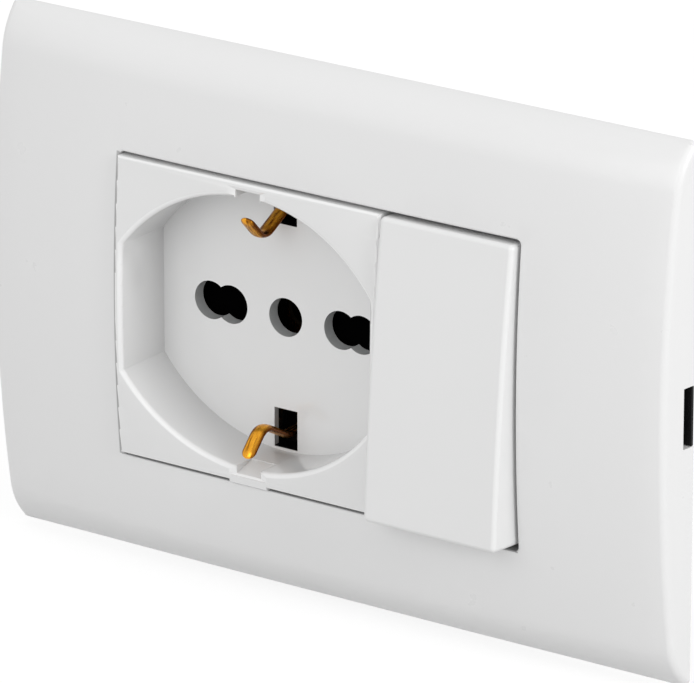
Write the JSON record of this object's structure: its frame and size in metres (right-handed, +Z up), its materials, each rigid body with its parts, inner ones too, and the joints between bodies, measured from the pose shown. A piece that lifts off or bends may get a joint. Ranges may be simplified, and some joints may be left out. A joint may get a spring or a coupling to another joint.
{
  "type": "wall socket with rocker switch",
  "caption": "Flush wall assembly: an earthed round-recess socket with side earth clips and a rocker switch in a support frame behind a crowned white cover plate",
  "frame": {"origin": "the point in the wall plane midway between the two fixing screw slots", "axes": "+X along the plate's width to the viewer's right, +Z up, -Y out of the wall to the viewer"},
  "size_m": [0.116, 0.0392, 0.0792],
  "materials": {
    "cover_white": "satin gloss moulded",
    "module_white": "satin gloss moulded",
    "frame_black": "fine matt moulded",
    "shell_black": "fine matt moulded",
    "shutter_black": "fine matt moulded",
    "brass": "stamped and lightly brushed",
    "clamp_brass": "nickel flashed",
    "screw_steel": "zinc plated",
    "spring_steel": "drawn wire",
    "plunger_white": "satin gloss moulded",
    "bronze_dark": "darkened bronze"
  },
  "bodies": {
    "housing": {"cover_plate": "cover_white", "support_frame": "frame_black", "socket_front": "module_white", "socket_rear": "shell_black", "socket_screws": "screw_steel", "earth_bridge": "brass", "earth_sleeve": "bronze_dark", "line_contact": "brass", "neutral_contact": "brass", "line_clamp": "clamp_brass", "neutral_clamp": "clamp_brass", "earth_clamp": "clamp_brass", "socket_terminal_screws": "screw_steel", "shutter_spring": "spring_steel", "switch_front": "shell_black", "switch_rear": "shell_black", "switch_screws": "screw_steel", "common_terminal": "brass", "load_terminal": "brass", "common_clamp": "clamp_brass", "load_clamp": "clamp_brass", "switch_terminal_screws": "screw_steel"},
    "rocker": {"rocker": "module_white", "plunger_spring": "spring_steel"},
    "plunger": {"rocker_plunger": "plunger_white"},
    "lever": {"contact_lever": "brass"},
    "shutter": {"pin_shutter": "shutter_black"}
  },
  "joints": [
    {"name": "rocker_hinge", "type": "hinge", "parent": "housing", "child": "rocker", "pos_m": [0.0226, -0.0059, 0], "axis": [1, 0, 0], "range_deg": [0, 10.6]},
    {"name": "lever_tilt", "type": "hinge", "parent": "housing", "child": "lever", "pos_m": [0.0226, 0.0084, 0], "axis": [1, 0, 0], "range_deg": [-12, 0]},
    {"name": "plunger_slide", "type": "slide", "parent": "rocker", "child": "plunger", "axis": [0, -0.9957, 0.0924], "range_m": [0, 0.001], "stiffness_N_per_m": 400, "deforming": ["plunger_spring"]},
    {"name": "shutter_slide", "type": "slide", "parent": "housing", "child": "shutter", "axis": [0, 0, 1], "range_m": [0, 0.0064], "stiffness_N_per_m": 30, "deforming": ["shutter_spring"]}
  ],
  "couplings": [
    {"joint": "lever_tilt", "follows": "rocker_hinge", "ratio": -1.1321}
  ]
}
